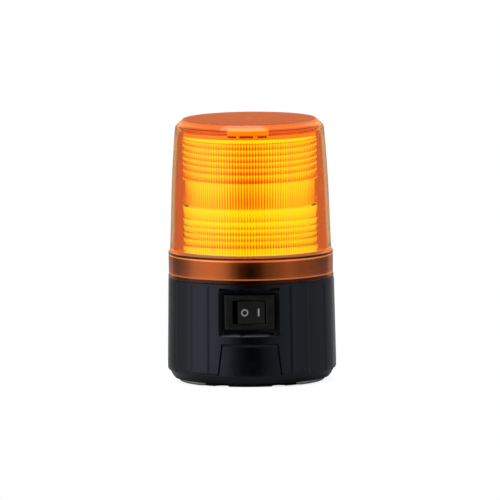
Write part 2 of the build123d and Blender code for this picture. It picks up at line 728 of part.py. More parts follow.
# Two tab terminals through the back of the frame, the middle one under the blade's pivot
with BuildPart() as switch_terminals:
    for x, tip_y in ((0.0, blade_pivot_y + bead_r + 0.02), (-5.0, -23.3)):
        with Locations((x, tip_y, switch_z)):
            Box(0.8, tip_y * -1 - 15.5, 4.8, align=(Align.CENTER, Align.MIN, Align.CENTER))
switch_terminals.part.label = "switch_terminals"
export_step(switch_terminals.part, "parts/switch_terminals.step")

# Insulated leads from the terminals to the board
lead_r = 0.8
for name, x in (("lead_black", 0.0), ("lead_red", -5.0)):
    start = (x, -16.6, switch_z + 2.4)
    with BuildPart() as lead:
        with BuildLine():
            FilletPolyline(start, (x, -16.6, 40.0), (x - 2.0, -18.4, 44.5), (x - 2.0, -18.4, board_z),
                           radius=2.5)
        with BuildSketch(Plane(origin=start, z_dir=(0, 0, 1))):
            Circle(lead_r)
        sweep()
    lead.part.label = name
    export_step(lead.part, f"parts/{name}.step")

# ================================================================ rocker body
# Rocker with a shallow V face, hinge pins at both ends and a bore for its plunger
rocker_low_z = switch_z - rocker_h / 2
bore_r = 1.3
with BuildPart() as rocker:
    with BuildSketch(tilted_plane(rocker_tilt, rocker_low_z)):
        Polygon(
            (-rocker_half_w, -5.0),
            (0, -4.35),
            (rocker_half_w, -5.0),
            (rocker_half_w, 1.5),
            (2.4, 1.5),
            (2.4, 2.6),
            (-2.4, 2.6),
            (-2.4, 1.5),
            (-rocker_half_w, 1.5),
            align=None,
        )
    extrude(amount=rocker_h)
    with Locations((0, rocker_pivot_y, switch_z)):
        Cylinder(pin_r, rocker_h + 2.1)
    bore_plane = Plane(origin=tilted_plane(rocker_tilt, switch_z).from_local_coords((0, 2.6, 0)),
                       z_dir=tilted_plane(rocker_tilt, switch_z).y_dir)
    with BuildSketch(bore_plane):
        Circle(bore_r)
    extrude(amount=-4.4, mode=Mode.SUBTRACT)
rocker.part.label = "rocker"
export_step(rocker.part, "parts/rocker.step")

# Sprung plunger that slides on the contact blade
plunger_tip = 5.2
plunger_r = 1.15
shaft_plane = Plane(origin=tilted_plane(rocker_tilt, switch_z).from_local_coords((0, 1.0, 0)),
                    z_dir=tilted_plane(rocker_tilt, switch_z).y_dir)
with BuildPart() as plunger:
    with BuildSketch(shaft_plane):
        Circle(plunger_r)
    extrude(amount=plunger_tip - 1.0)
    fillet(plunger.faces().sort_by(Axis.Y)[-1].edges(), 1.0)
plunger.part.label = "plunger"
export_step(plunger.part, "parts/plunger.step")

spring_seat = tilted_plane(rocker_tilt, switch_z).from_local_coords((0, -1.55, 0))
with BuildPart() as plunger_spring:
    with BuildLine() as small_coil:
        Helix(pitch=0.6, height=2.3, radius=0.95, center=spring_seat,
              direction=tilted_plane(rocker_tilt, switch_z).y_dir)
    with BuildSketch(Plane(origin=small_coil.line @ 0, z_dir=small_coil.line % 0)):
        Circle(0.16)
    sweep(is_frenet=True)
plunger_spring.part.label = "plunger_spring"
export_step(plunger_spring.part, "parts/plunger_spring.step")

# ================================================================ contact blade body
blade_turn = radians(-blade_tilt)
blade_plane = Plane(origin=(0, blade_pivot_y, switch_z - 2.2),
                    x_dir=(cos(blade_turn), sin(blade_turn), 0), z_dir=(0, 0, 1))
with BuildPart() as contact_blade:
    with BuildSketch(blade_plane):
        with Locations((0, -0.25)):
            Rectangle(10.4, 0.5)
        Circle(bead_r)
    extrude(amount=4.4)
contact_blade.part.label = "contact_blade"
export_step(contact_blade.part, "parts/contact_blade.step")

# ================================================================ globe body
# Globe: one amber moulding, a drafted dome with a bevelled shoulder above a wider skirt
globe_wall = 1.8
tab_w = 17.6
tab_z = 109.3
with BuildPart() as globe:
    with BuildSketch(Plane.XZ):
        with BuildLine():
            Polyline((skirt_bore_r, housing_top_z), (skirt_r - 0.4, housing_top_z),
                     (skirt_r, housing_top_z + 0.4), (skirt_r - 0.2, skirt_top_z))
            Line((skirt_r - 0.2, skirt_top_z), (34.85, 57.9))
            Spline((34.85, 57.9), (34.4, 69.5), (33.8, 86.9), (32.7, 104.3), (32.3, 109.0))
            ThreePointArc((32.3, 109.0), (32.1, 110.3), (31.5, 111.2))
            Line((31.5, 111.2), (globe_top_r + 0.8, 113.3))
            ThreePointArc((globe_top_r + 0.8, 113.3), (globe_top_r + 0.2, 113.6),
                          (globe_top_r - 0.6, globe_top_z))
            Polyline((globe_top_r - 0.6, globe_top_z), (0, globe_top_z),
                     (0, globe_top_z - globe_wall), (27.4, globe_top_z - globe_wall),
                     (29.6, 110.4), (30.6, 108.6))
            Spline((30.6, 108.6), (31.0, 104.3), (32.1, 86.9), (32.7, 69.5), (33.1, 58.6))
            Polyline((33.1, 58.6), (skirt_bore_r, 57.2), (skirt_bore_r, housing_top_z))
        make_face()
    revolve(axis=Axis.Z)
    # rectangular pad inside the shoulder that presses on the lens cap's rim
    with BuildSketch(Plane.XY.offset(tab_z)):
        with Locations((0, -28.2)):
            Rectangle(tab_w, 2.4)
    extrude(amount=globe_top_z - 1.0 - tab_z)
    # keys that drop into the notches of the neck
    for angle in key_angles:
        with Locations(Location(ring_points(32.9, (angle,), key_z + 0.5)[0], (0, 0, angle))):
            Box(1.8, key_notch_w - 0.8, 4.2, align=(Align.CENTER, Align.CENTER, Align.MIN))
    # shallow gate dimple in the middle of the top
    with Locations((0, 0, globe_top_z)):
        Cylinder(1.1, 0.8, mode=Mode.SUBTRACT)
globe.part.label = "globe"
export_step(globe.part, "parts/globe.step")
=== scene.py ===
import bpy
import math
from mathutils import Matrix, Vector


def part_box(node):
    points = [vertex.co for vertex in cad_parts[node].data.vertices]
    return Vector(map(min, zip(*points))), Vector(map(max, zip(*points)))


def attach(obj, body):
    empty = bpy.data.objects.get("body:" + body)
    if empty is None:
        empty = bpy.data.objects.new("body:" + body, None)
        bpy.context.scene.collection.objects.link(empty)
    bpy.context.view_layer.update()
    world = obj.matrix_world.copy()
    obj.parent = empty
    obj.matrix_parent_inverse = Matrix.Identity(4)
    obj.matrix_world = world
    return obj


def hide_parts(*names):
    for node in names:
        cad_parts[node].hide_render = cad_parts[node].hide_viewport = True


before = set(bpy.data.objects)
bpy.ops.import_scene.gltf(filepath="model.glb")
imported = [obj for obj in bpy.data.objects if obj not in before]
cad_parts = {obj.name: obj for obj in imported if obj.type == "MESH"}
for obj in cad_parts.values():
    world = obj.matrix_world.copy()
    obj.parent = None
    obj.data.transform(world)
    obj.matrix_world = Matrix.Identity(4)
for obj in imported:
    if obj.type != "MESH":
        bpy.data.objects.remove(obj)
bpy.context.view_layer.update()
mm = 0.001


# ---------------------------------------------------------------- Magnet plate, screws and ring magnet
# The plate is pressed steel with a bright nickel plate and a rolled edge, cut off straight in front. Turning
# left fine rings that stretch its highlights. The screws are zinc-plated, a duller grey, and the ring magnet
# is sintered ferrite, dark and matt as fired clay.
def linear(code):
    """Linear colour from an sRGB hex code such as "1A1B1C"."""
    parts = [int(code[i:i + 2], 16) / 255 for i in (0, 2, 4)]
    return tuple(p / 12.92 if p <= 0.04045 else ((p + 0.055) / 1.055) ** 2.4 for p in parts) + (1.0,)


def add(tree, kind, inputs=None, **settings):
    """Adds a node to a material. Inputs are values or sockets, by the input's name or number."""
    node = tree.nodes.new(kind)
    for key, value in settings.items():
        setattr(node, key, value)
    for key, value in (inputs or {}).items():
        if isinstance(value, bpy.types.NodeSocket):
            tree.links.new(value, node.inputs[key])
        else:
            node.inputs[key].default_value = value
    return node


def finish_of(name, colour, roughness, metallic=0.0, **sockets):
    """Starts a material with its name, its even colour and the even values of its shader."""
    material = bpy.data.materials.new(name)
    material.use_nodes = True
    shader = material.node_tree.nodes["Principled BSDF"]
    shader.inputs["Base Color"].default_value = linear(colour)
    shader.inputs["Roughness"].default_value = roughness
    shader.inputs["Metallic"].default_value = metallic
    for key, value in sockets.items():
        shader.inputs[key.replace("_", " ")].default_value = value
    return material, material.node_tree, shader


def grain(tree, shader, size, depth, rough, blotch=None):
    """Grain of a size and depth in metres, a spread of roughness, and blotches of a second colour if given.

    Most real grains are too fine to show, so their sizes are drawn a little coarser.
    """
    blotch_size = 12 * size
    place = add(tree, "ShaderNodeTexCoord").outputs["Object"]
    noise = add(tree, "ShaderNodeTexNoise", {"Vector": place, "Scale": 1 / size, "Detail": 3.0})
    bump = add(tree, "ShaderNodeBump", {"Height": noise.outputs["Fac"], "Strength": 1.0, "Distance": depth})
    tree.links.new(bump.outputs["Normal"], shader.inputs["Normal"])
    noise = add(tree, "ShaderNodeTexNoise", {"Vector": place, "Scale": 1 / blotch_size, "Detail": 4.0})
    wide = noise.outputs["Fac"]
    spread = add(tree, "ShaderNodeMapRange", {"Value": wide, 1: 0.3, 2: 0.7, 3: rough[0], 4: rough[1]})
    tree.links.new(spread.outputs["Result"], shader.inputs["Roughness"])
    if blotch:
        plain = tuple(shader.inputs["Base Color"].default_value)
        mixed = add(tree, "ShaderNodeMix", {"Factor": wide, "A": plain, "B": linear(blotch)},
                    data_type="RGBA")
        tree.links.new(mixed.outputs[2], shader.inputs["Base Color"])


def coat(material, *nodes):
    """Gives CAD nodes whose shape stays their finished material."""
    for node in nodes:
        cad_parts[node].data.materials.clear()
        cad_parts[node].data.materials.append(material)


def fill_ramp(node, stops):
    """Sets a colour ramp's stops from pairs of a position and a colour."""
    ramp = node.color_ramp
    ramp.elements.remove(ramp.elements[1])
    ramp.elements[0].position, ramp.elements[0].color = stops[0]
    for position, colour in stops[1:]:
        ramp.elements.new(position).color = colour


nickel, tree, shader = finish_of("Turned nickel plate", "DADDE0", 0.2, 1.0)
ring_pitch = 0.8 * mm       # the real lathe marks are finer than shows
smudge_size = 9 * mm
place = add(tree, "ShaderNodeTexCoord").outputs["Object"]
rings = add(tree, "ShaderNodeTexWave", {"Vector": place, "Scale": math.tau / (20 * ring_pitch),
                                        "Distortion": 0.6}, wave_type="RINGS", rings_direction="Z")
smudge = add(tree, "ShaderNodeTexNoise", {"Vector": place, "Scale": 1 / smudge_size, "Detail": 4.0})
spread = add(tree, "ShaderNodeMapRange", {"Value": smudge.outputs["Fac"], 3: 0.12, 4: 0.3})
tree.links.new(spread.outputs["Result"], shader.inputs["Roughness"])
bump = add(tree, "ShaderNodeBump", {"Height": rings.outputs["Fac"], "Strength": 0.6, "Distance": 0.01 * mm})
tree.links.new(bump.outputs["Normal"], shader.inputs["Normal"])
coat(nickel, "magnet_plate")

zinc, tree, shader = finish_of("Zinc-plated steel", "B4B6B2", 0.32, 1.0)
grain(tree, shader, 0.6 * mm, 0.008 * mm, (0.24, 0.42), "9FA3A6")
coat(zinc, "plate_screws", "cover_screws", "chassis_screws", "board_screws")

ferrite, tree, shader = finish_of("Sintered ferrite", "2B2C2E", 0.7)
grain(tree, shader, 0.4 * mm, 0.03 * mm, (0.6, 0.8), "37383A")
coat(ferrite, "ring_magnet", "inductor")


# ---------------------------------------------------------------- Rubber foot, gasket and O-ring
# All three are moulded in black nitrile rubber and left matt, so they give only a dull grey sheen at their
# edges. The foot fills the front of the base where the plate is cut off straight.
rubber, tree, shader = finish_of("Moulded nitrile rubber", "121212", 0.78)
grain(tree, shader, 0.35 * mm, 0.02 * mm, (0.68, 0.86), "1A1A1A")
coat(rubber, "rubber_foot", "cover_gasket", "globe_seal")


# ---------------------------------------------------------------- Bottom cover, chassis and battery cradle
# The cover and the chassis are moulded in black ABS with a faint blue cast and a fine spark-eroded grain,
# which spreads highlights into soft bands. The cradle is duller, as inner parts are left unpolished.
spark_grain = 0.28 * mm     # as coarse as shows; the real grain is about 0.05 mm
black_abs, tree, shader = finish_of("Moulded black ABS", "030405", 0.2, Specular_Tint=linear("DEEBFF"))
grain(tree, shader, spark_grain, 0.002 * mm, (0.16, 0.24), "050708")
coat(black_abs, "bottom_cover", "chassis")

inner_abs, tree, shader = finish_of("Unpolished black ABS", "141618", 0.5)
grain(tree, shader, spark_grain, 0.01 * mm, (0.45, 0.6), "1B1D20")
coat(inner_abs, "battery_cradle")


# ---------------------------------------------------------------- Battery cells
# Four AA cells. Each is a drawn steel can in a printed shrink sleeve that is rolled over both ends, with a
# plated nub in a ring of white card at the positive end, and a bare dished negative end.
def turned(name, outline, steps, start=0.0, sweep=360.0):
    """Turns a closed outline of (radius, height) about Z: a point drawn along it in edit mode, then spun."""
    bpy.ops.object.select_all(action="DESELECT")
    turn = math.radians(start)
    across = Vector((math.cos(turn), math.sin(turn), 0))
    up = Vector((0, 0, 1))
    corners = [across * r + up * z for r, z in outline]
    bpy.ops.mesh.primitive_plane_add(size=mm, location=corners[0])
    bpy.ops.object.transform_apply()
    piece = bpy.context.object
    piece.name = piece.data.name = name
    bpy.ops.object.mode_set(mode="EDIT")
    bpy.ops.mesh.select_mode(type="VERT")
    bpy.ops.mesh.select_all(action="SELECT")
    bpy.ops.mesh.merge(type="CENTER")
    for here, there in zip(corners, corners[1:] + corners[:1]):
        bpy.ops.mesh.extrude_region_move(TRANSFORM_OT_translate={"value": there - here})
    bpy.ops.mesh.select_all(action="SELECT")
    bpy.ops.mesh.remove_doubles(threshold=0.002 * mm)
    bpy.ops.mesh.spin(steps=steps, angle=-math.radians(sweep), center=(0, 0, 0), axis=(0, 0, 1))
    bpy.ops.mesh.select_all(action="SELECT")
    bpy.ops.mesh.remove_doubles(threshold=0.002 * mm)
    if sweep < 360:
        bpy.ops.mesh.fill_holes(sides=0)
        bpy.ops.mesh.select_all(action="SELECT")
    bpy.ops.mesh.normals_make_consistent(inside=False)
    bpy.ops.object.mode_set(mode="OBJECT")
    return piece


def round_off(centre, radius, first, last, points=5):
    """Points of a rounded stretch of an outline, between two angles in degrees."""
    turns = [math.radians(first + (last - first) * i / (points - 1)) for i in range(points)]
    return [(centre[0] + radius * math.cos(t), centre[1] + radius * math.sin(t)) for t in turns]


def pick(piece):
    """Makes a piece the only one selected, and the active one."""
    bpy.ops.object.select_all(action="DESELECT")
    piece.select_set(True)
    bpy.context.view_layer.objects.active = piece


def choose(piece, test):
    """Opens a piece in edit mode with only the vertices picked whose place passes a test."""
    pick(piece)
    bpy.ops.object.mode_set(mode="EDIT")
    bpy.ops.mesh.select_mode(type="VERT")
    bpy.ops.mesh.select_all(action="DESELECT")
    bpy.ops.object.mode_set(mode="OBJECT")
    for vertex in piece.data.vertices:
        vertex.select = test(vertex.co)
    bpy.ops.object.mode_set(mode="EDIT")


def smooth(piece, angle=35.0):
    """Smooth shading that keeps edges sharper than the angle."""
    pick(piece)
    bpy.ops.object.shade_smooth_by_angle(angle=math.radians(angle))


def apply(piece, kind, **settings):
    """Adds a modifier with its settings and applies it."""
    pick(piece)
    modifier = piece.modifiers.new(kind.title(), kind)
    for key, value in settings.items():
        setattr(modifier, key, value)
    bpy.ops.object.modifier_apply(modifier=modifier.name)


def fit(piece, body, slot, replaced, *materials):
    """Gives a finished piece its materials and the body it rides on, and hides the CAD node it replaces. The
    slot is not used.
    """
    for material in materials:
        piece.data.materials.append(material)
    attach(piece, body)
    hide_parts(replaced)


steel, tree, shader = finish_of("Bright drawn steel", "C6C8CA", 0.25, 1.0)
grain(tree, shader, 0.5 * mm, 0.004 * mm, (0.18, 0.36))
card, tree, shader = finish_of("White card washer", "E6E4DE", 0.7)
grain(tree, shader, 0.2 * mm, 0.01 * mm, (0.6, 0.8))

# The film is glossy over its print, a blue ground with one silver band round each cell.
film_blue, film_silver, film_half = linear("1F4E79"), linear("C9CDD1"), 26 * mm
sleeve, tree, shader = finish_of("Printed shrink film", "1F4E79", 0.28, Coat_Weight=0.3)
place = add(tree, "ShaderNodeTexCoord").outputs["Object"]
along = add(tree, "ShaderNodeSeparateXYZ", {"Vector": place}).outputs["X"]
share = add(tree, "ShaderNodeMapRange", {"Value": along, 1: -film_half, 2: film_half}).outputs["Result"]
bands = add(tree, "ShaderNodeValToRGB", {"Fac": share})
bands.color_ramp.interpolation = "CONSTANT"
fill_ramp(bands, ((0.0, film_blue), (0.7, film_silver), (0.78, film_blue)))
tree.links.new(bands.outputs["Color"], shader.inputs["Base Color"])

nub_radius, nub_height, card_radius = 2.7 * mm, 1.0 * mm, 5.4 * mm
dish_radius, dish_depth = 4.2 * mm, 0.25 * mm
foot_round, shoulder_round, nub_round = 0.5 * mm, 0.6 * mm, 0.4 * mm
for number in (1, 2, 3, 4):
    low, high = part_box(f"battery_{number}")
    middle = (low + high) / 2
    radius = (high.z - low.z) / 2
    tip = (high.x - low.x) / 2
    foot, shoulder = -tip, tip - nub_height
    outline = [(0, foot + dish_depth), (dish_radius, foot + dish_depth), (dish_radius + 0.5 * mm, foot)]
    outline += round_off((radius - foot_round, foot + foot_round), foot_round, -90, 0)
    outline += round_off((radius - shoulder_round, shoulder - shoulder_round), shoulder_round, 0, 90)
    outline += [(card_radius + 0.3 * mm, shoulder), (card_radius, shoulder - dish_depth),
                (nub_radius, shoulder - dish_depth)]
    outline += round_off((nub_radius - nub_round, tip - nub_round), nub_round, 0, 90) + [(0, tip)]
    cell = turned(f"cell_{number}", outline, 64)
    nub_way = 1 if number in (1, 3) else -1
    cell.rotation_euler = (0, math.radians(90 * nub_way), 0)
    cell.location = middle
    pick(cell)
    bpy.ops.object.transform_apply()
    smooth(cell)
    fit(cell, "base", "battery_sleeve", f"battery_{number}", sleeve, steel, card)
    for face in cell.data.polygons:
        height = (face.center.x - middle.x) * nub_way
        out = math.hypot(face.center.y - middle.y, face.center.z - middle.z)
        if height > shoulder - 0.3 * mm and out < card_radius:
            face.material_index = 1 if out < nub_radius else 2
        elif height < foot + 0.3 * mm and out < dish_radius + 0.6 * mm:
            face.material_index = 1


# ---------------------------------------------------------------- Battery contacts and thread inserts
# The springs, link plates and terminals are spring brass with a warm, slightly cloudy nickel plate. The
# thread inserts are turned brass, left bare.
nickel_strip, tree, shader = finish_of("Nickel-plated spring brass", "C9C3B4", 0.26, 1.0)
grain(tree, shader, 0.5 * mm, 0.006 * mm, (0.2, 0.4), "B8B3A8")
coat(nickel_strip, *[f"battery_spring_{number}" for number in (1, 2, 3, 4)],
     *[f"link_plate_{number}" for number in (1, 2, 3)],
     "feed_contact_positive", "feed_contact_negative", "switch_terminals")
brass, tree, shader = finish_of("Turned brass", "B5A05A", 0.3, 1.0)
grain(tree, shader, 0.4 * mm, 0.01 * mm, (0.25, 0.4), "A08C4C")
coat(brass, "thread_inserts")


# ---------------------------------------------------------------- Housing
# One moulding in the cover's black ABS: a slightly drafted tube with shallow grip pads that run to its foot,
# a flat-floored recess for the switch between two lips cut in the wall, and a finger relief open at the foot.
def block(name, low, high, bevel=0.0, segments=2):
    """A box between two corners, with its edges bevelled in edit mode."""
    low, high = Vector(low), Vector(high)
    bpy.ops.object.select_all(action="DESELECT")
    bpy.ops.mesh.primitive_cube_add(size=1, location=(low + high) / 2)
    piece = bpy.context.object
    piece.name = piece.data.name = name
    piece.scale = high - low
    bpy.ops.object.transform_apply()
    if bevel:
        bpy.ops.object.mode_set(mode="EDIT")
        bpy.ops.mesh.bevel(offset=bevel, segments=segments, affect="EDGES")
        bpy.ops.object.mode_set(mode="OBJECT")
    return piece


def rod(name, centre, radius, low, high):
    """An upright round rod, to add to a piece or cut from it."""
    bpy.ops.object.select_all(action="DESELECT")
    bpy.ops.mesh.primitive_cylinder_add(vertices=32, radius=radius, depth=high - low,
                                        location=(centre[0], centre[1], (low + high) / 2))
    bpy.ops.object.transform_apply()
    piece = bpy.context.object
    piece.name = piece.data.name = name
    return piece


def combine(piece, tool, way):
    """Joins a tool to a piece or cuts it away, and removes the tool."""
    apply(piece, "BOOLEAN", operation=way, object=tool, solver="EXACT")
    bpy.data.objects.remove(tool)


def around(radius, angle):
    """A point at a radius and an angle in degrees about the Z axis."""
    return (radius * math.cos(math.radians(angle)), radius * math.sin(math.radians(angle)))


low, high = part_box("housing")
foot_z, top_z = low.z, high.z
foot_radius, top_radius, bore_radius, ledge_radius = 36.36 * mm, 35.7 * mm, 33.6 * mm, 30.6 * mm
ledge_slope_z, ledge_low, ledge_top = 38.0 * mm, 41.0 * mm, 43.0 * mm
foot_round, top_round = 0.3 * mm, 0.4 * mm
pad_rise = 0.35 * mm
pad_half_width = 6.5        # degrees, as are the steps between the pads
pad_angles = [-90 + side * (37 + 32.7 * step) for side in (-1, 1) for step in range(5)]
pad_low, pad_high = 6.6 * mm, 44.2 * mm
pad_rings = (pad_low, pad_low + 0.5 * mm, pad_low + mm, pad_high - mm, pad_high - 0.5 * mm, pad_high)


def wall_radius(z):
    """Outside radius of the drafted wall at a height."""
    return foot_radius + (top_radius - foot_radius) * (z - foot_z) / (top_z - foot_z)


def on_pad(margin):
    """A test for points of the outside wall on a grip pad, or up to a margin in degrees beside it."""
    def test(point):
        angle = math.degrees(math.atan2(point.y, point.x))
        off = min(abs((angle - centre + 180) % 360 - 180) for centre in pad_angles)
        outside = point.xy.length > top_radius - 0.05 * mm
        return outside and point.z < pad_high - 0.1 * mm and off < pad_half_width + margin
    return test


outline = [(bore_radius, foot_z), (foot_radius - foot_round, foot_z)]
outline += round_off((foot_radius - foot_round, foot_z + foot_round), foot_round, -60, 0, 3)
outline += [(wall_radius(z), z) for z in pad_rings]
outline += round_off((top_radius - top_round, top_z - top_round), top_round, 0, 90, 4)
outline += [(bore_radius, top_z), (bore_radius, ledge_top), (ledge_radius, ledge_top),
            (ledge_radius, ledge_low), (bore_radius, ledge_slope_z)]
housing = turned("housing_shell", outline, 540)

# The pads rise in three steps from outside in, which rounds their long edges.
for share, margin in ((0.3, 1.6), (0.35, 0.9), (0.35, 0.2)):
    choose(housing, on_pad(margin))
    scale = 1 + pad_rise * share / foot_radius
    bpy.ops.transform.resize(value=(scale, scale, 1), center_override=(0, 0, 0))
    bpy.ops.object.mode_set(mode="OBJECT")

# The recess is deeper than the wall is thick, so a tub is first joined on inside it.
switch_z = 32.9 * mm
recess_half, recess_half_height, floor_y = 13.5 * mm, 9.25 * mm, -32.0 * mm
recess_low, recess_high = switch_z - recess_half_height, switch_z + recess_half_height
tub_half, tub_front, tub_back = 15.1 * mm, -32.3 * mm, -30.0 * mm
tub = block("tub", (-tub_half, tub_front, recess_low - 1.6 * mm), (tub_half, tub_back, ledge_top))
combine(housing, tub, "UNION")
recess = block("recess", (-recess_half, -45 * mm, recess_low), (recess_half, floor_y, recess_high), 0.35 * mm)
combine(housing, recess, "DIFFERENCE")

lip_half_arc = 21.5         # degrees
lip_height, lip_depth = 1.4 * mm, 1.1 * mm
beyond = foot_radius + mm
for edge, far in ((recess_high, recess_high + lip_height), (recess_low, recess_low - lip_height)):
    profile = [(top_radius - lip_depth, edge), (beyond, edge), (beyond, far),
               (wall_radius(far) + 0.15 * mm, far), (wall_radius(far) - 0.1 * mm, (far * 4 + edge) / 5)]
    lip = turned("lip", profile, 86, -90 - lip_half_arc, 2 * lip_half_arc)
    combine(housing, lip, "DIFFERENCE")

gate_x = 11.6 * mm          # a small groove and nub right of the switch, perhaps marks of the mould's gate
combine(housing, block("gate_groove", (gate_x - 0.25 * mm, floor_y - mm, 31.2 * mm),
                       (gate_x + 0.25 * mm, floor_y + 0.35 * mm, 33.8 * mm)), "DIFFERENCE")
combine(housing, block("gate_nub", (gate_x - 0.35 * mm, floor_y - 0.3 * mm, 34.1 * mm),
                       (gate_x + 0.35 * mm, floor_y + 0.1 * mm, 34.8 * mm), 0.12 * mm), "UNION")
opening_half, opening_half_height = 9.6 * mm, 6.6 * mm
opening = block("opening", (-opening_half, -33 * mm, switch_z - opening_half_height),
                (opening_half, -29 * mm, switch_z + opening_half_height))
combine(housing, opening, "DIFFERENCE")

# The relief's cutter is turned at its full width, then narrowed towards its top.
relief_top, relief_depth = 18.3 * mm, 1.0 * mm
relief_half_arc, relief_flare = 20.0, 3.0       # degrees
relief_wall = wall_radius(relief_top)
relief_profile = [(wall_radius(foot_z) - relief_depth, foot_z - mm), (beyond, foot_z - mm),
                  (beyond, relief_top + 0.9 * mm), (relief_wall, relief_top + 0.9 * mm),
                  (relief_wall - 0.7 * relief_depth, relief_top + 0.5 * mm),
                  (relief_wall - relief_depth, relief_top - 0.2 * mm),
                  (relief_wall - relief_depth, relief_top - 0.8 * mm)]
relief = turned("relief", relief_profile, 92, -90 - relief_half_arc - relief_flare,
                2 * (relief_half_arc + relief_flare))
for vertex in relief.data.vertices:
    narrow = min(1.0, max(0.0, (vertex.co.z - foot_z) / (relief_top - foot_z)))
    angle = math.atan2(vertex.co.y, vertex.co.x) + math.pi / 2
    turn = -angle * narrow * relief_flare / (relief_half_arc + relief_flare)
    vertex.co = Matrix.Rotation(turn, 4, "Z") @ vertex.co
combine(housing, relief, "DIFFERENCE")

# Three bosses below take the cover screws, and four ears on the ledge take the chassis screws.
screw_circle = 29.4 * mm
boss_radius, boss_bore, boss_low, boss_high = 3.4 * mm, 2.22 * mm, 7.1 * mm, 16.6 * mm
ear_radius, ear_hole = 3.2 * mm, 1.65 * mm
for angle in (90, 245, 295):
    point = around(screw_circle, angle)
    combine(housing, rod("boss", point, boss_radius, boss_low, boss_high), "UNION")
    combine(housing, rod("bore", point, boss_bore, boss_low - mm, boss_high - 1.2 * mm), "DIFFERENCE")
for angle in (35, 145, 215, 325):
    point = around(screw_circle, angle)
    combine(housing, rod("ear", point, ear_radius, ledge_low, ledge_top), "UNION")
    combine(housing, rod("hole", point, ear_hole, ledge_low - mm, ledge_top + mm), "DIFFERENCE")
smooth(housing, 38)
fit(housing, "lamp_body", "black_abs", "housing", black_abs)


# ---------------------------------------------------------------- Switch
# A snap-in panel rocker switch. Its bezel and rocker are moulded in black nylon, browner and duller than the
# housing. The rocker's O and I are pad-printed in pale grey ink, and it is pressed in at its right end, on.
nylon, tree, shader = finish_of("Moulded black nylon", "0E0D0B", 0.42)
grain(tree, shader, 0.25 * mm, 0.006 * mm, (0.36, 0.5), "13110E")
ink, tree, shader = finish_of("Pad-printed pale grey ink", "D2D4D6", 0.5)
grain(tree, shader, 0.2 * mm, 0.003 * mm, (0.42, 0.6))

bezel_half, bezel_half_height, bezel_y = 10.7 * mm, 7.5 * mm, -34.0 * mm
box_half, box_half_height, box_back = 9.5 * mm, 6.5 * mm, -20.5 * mm
mouth_half, mouth_half_height, cavity_y = 7.2 * mm, 5.05 * mm, -22.3 * mm
bezel = block("switch_bezel", (-bezel_half, bezel_y, switch_z - bezel_half_height),
              (bezel_half, floor_y, switch_z + bezel_half_height), 0.35 * mm, 3)
combine(bezel, block("switch_box", (-box_half, floor_y - 0.5 * mm, switch_z - box_half_height),
                     (box_half, box_back, switch_z + box_half_height), 0.3 * mm), "UNION")

wing_front, wing_middle, wing_back = -29.8 * mm, -29.0 * mm, -27.2 * mm
wing_half, wing_half_height, wing_out, wing_in = 0.5 * mm, 3.5 * mm, 9.6 * mm, 9.2 * mm
for side in (-1, 1):
    wing = block("snap_wing", (-wing_half, wing_front, switch_z - wing_half_height),
                 (wing_half, wing_back, switch_z + wing_half_height))
    for vertex in wing.data.vertices:
        vertex.co.x += side * (wing_out if vertex.co.y < wing_middle else wing_in)
    combine(bezel, wing, "UNION")
combine(bezel, block("cavity", (-mouth_half, bezel_y - mm, switch_z - mouth_half_height),
                     (mouth_half, cavity_y, switch_z + mouth_half_height)), "DIFFERENCE")

pin_radius, pin_reach, pivot_y = 0.9 * mm, 1.05 * mm, -30.0 * mm
combine(bezel, rod("pin_hole", (0, pivot_y), pin_radius + 0.05 * mm, switch_z - mouth_half_height - pin_reach,
                   switch_z + mouth_half_height + pin_reach), "DIFFERENCE")
slot_half, slot_half_height = 0.42 * mm, 2.42 * mm
for x in (0, -5 * mm):
    combine(bezel, block("terminal_slot", (x - slot_half, -25.3 * mm, switch_z - slot_half_height),
                         (x + slot_half, -19.3 * mm, switch_z + slot_half_height)), "DIFFERENCE")
hair = 0.01 * mm
choose(bezel, lambda point: abs(point.y - bezel_y) < hair and abs(point.x) < mouth_half + hair
       and abs(point.z - switch_z) < mouth_half_height + hair)
bpy.ops.mesh.bevel(offset=0.3 * mm, segments=3, affect="EDGES")
bpy.ops.object.mode_set(mode="OBJECT")
smooth(bezel, 30)
fit(bezel, "lamp_body", "switch_black", "switch_frame", nylon)

# The rocker's face is a shallow V: a block cut through its middle, with the cut pushed in.
rocker_half, rocker_half_height, crown, dip = 5.8 * mm, 4.85 * mm, 5.0 * mm, 0.65 * mm
rocker_turn = math.radians(12)
rocker = block("rocker_cap", (-rocker_half, pivot_y - crown, switch_z - rocker_half_height),
               (rocker_half, pivot_y + 1.5 * mm, switch_z + rocker_half_height))
bpy.ops.object.mode_set(mode="EDIT")
bpy.ops.mesh.select_all(action="SELECT")
bpy.ops.mesh.bisect(plane_co=(0, 0, 0), plane_no=(1, 0, 0))
bpy.ops.object.mode_set(mode="OBJECT")
for vertex in rocker.data.vertices:
    if abs(vertex.co.x) < hair and vertex.co.y < pivot_y:
        vertex.co.y += dip
apply(rocker, "BEVEL", width=0.25 * mm, segments=3, limit_method="ANGLE", angle_limit=math.radians(30))
hub_half, hub_half_height = 2.4 * mm, rocker_half_height - 0.2 * mm
combine(rocker, block("hub", (-hub_half, pivot_y + mm, switch_z - hub_half_height),
                      (hub_half, pivot_y + 2.6 * mm, switch_z + hub_half_height), 0.15 * mm), "UNION")
combine(rocker, rod("pins", (0, pivot_y), pin_radius, switch_z - rocker_half_height - pin_reach,
                    switch_z + rocker_half_height + pin_reach), "UNION")
bore = rod("plunger_bore", (0, 0), 1.3 * mm, -1.8 * mm, 3.6 * mm)
bore.rotation_euler = (-math.pi / 2, 0, 0)
bore.location = (0, pivot_y, switch_z)
pick(bore)
bpy.ops.object.transform_apply()
combine(rocker, bore, "DIFFERENCE")
smooth(rocker, 30)
rocker.data.materials.append(nylon)

